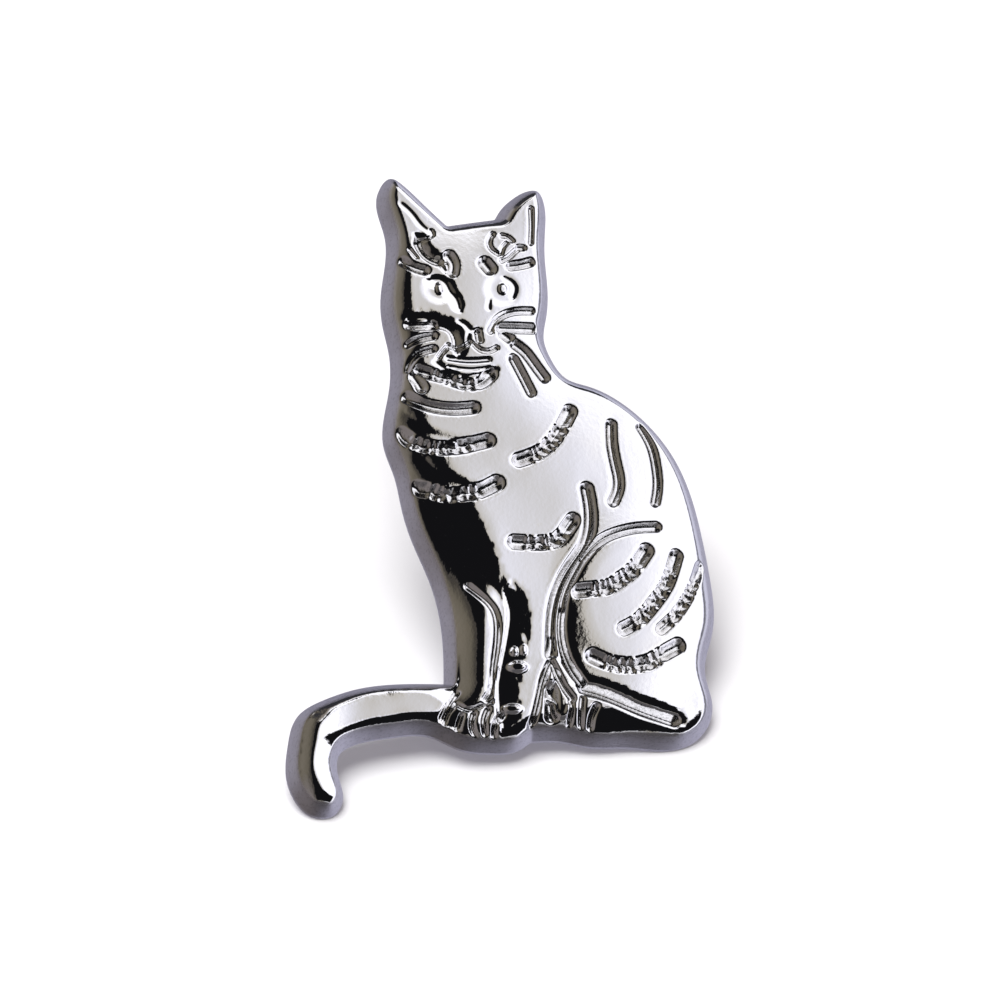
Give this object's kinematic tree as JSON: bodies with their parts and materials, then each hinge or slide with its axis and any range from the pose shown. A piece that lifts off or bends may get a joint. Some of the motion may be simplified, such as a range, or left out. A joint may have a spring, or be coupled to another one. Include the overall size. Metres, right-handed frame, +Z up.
{
  "type": "lapel pin",
  "caption": "Plated cast lapel pin in the shape of a seated cat, with a single post and a ball-locking pull-off clutch.",
  "frame": {"origin": "the post's axis at the badge's flat back face", "axes": "+Z up as the pin is worn, the cat faces -Y, +Y is out of the back along the post"},
  "size_m": [0.0215, 0.0107, 0.0334],
  "materials": {
    "silver_plate": "mirror polished top, satin side walls",
    "plated_steel": "bright drawn wire",
    "braze": "as run",
    "nickel_plate": "bright nickel, tumbled",
    "spring_steel": "drawn wire",
    "brass_tube": "turned",
    "ball_steel": "polished"
  },
  "bodies": {
    "badge": {"cat_casting": "silver_plate", "post": "plated_steel", "braze_ring": "braze", "anti_turn_spur": "plated_steel"},
    "clutch": {"clutch_housing": "nickel_plate", "closing_washer": "nickel_plate", "clutch_spring": "spring_steel"},
    "plunger": {"ball_cage": "brass_tube", "clutch_knob": "nickel_plate"},
    "ball_1": {"lock_ball_1": "ball_steel"},
    "ball_2": {"lock_ball_2": "ball_steel"},
    "ball_3": {"lock_ball_3": "ball_steel"}
  },
  "joints": [
    {"name": "clutch_slide", "type": "slide", "parent": "badge", "child": "clutch", "axis": [0, 1, 0], "range_m": [0, 0.01]},
    {"name": "knob_pull", "type": "slide", "parent": "clutch", "child": "plunger", "axis": [0, 1, 0], "range_m": [0, 0.0009], "stiffness_N_per_m": 300, "springref_m": -0.0006, "deforming": ["clutch_spring"]},
    {"name": "ball_1_shift", "type": "slide", "parent": "plunger", "child": "ball_1", "axis": [0, 0, 1], "range_m": [0, 0.00019]},
    {"name": "ball_2_shift", "type": "slide", "parent": "plunger", "child": "ball_2", "axis": [-0.866, 0, -0.5], "range_m": [0, 0.00019]},
    {"name": "ball_3_shift", "type": "slide", "parent": "plunger", "child": "ball_3", "axis": [0.866, 0, -0.5], "range_m": [0, 0.00019]}
  ],
  "couplings": [
    {"joint": "ball_1_shift", "follows": "knob_pull", "ratio": 0.2},
    {"joint": "ball_2_shift", "follows": "knob_pull", "ratio": 0.2},
    {"joint": "ball_3_shift", "follows": "knob_pull", "ratio": 0.2}
  ]
}
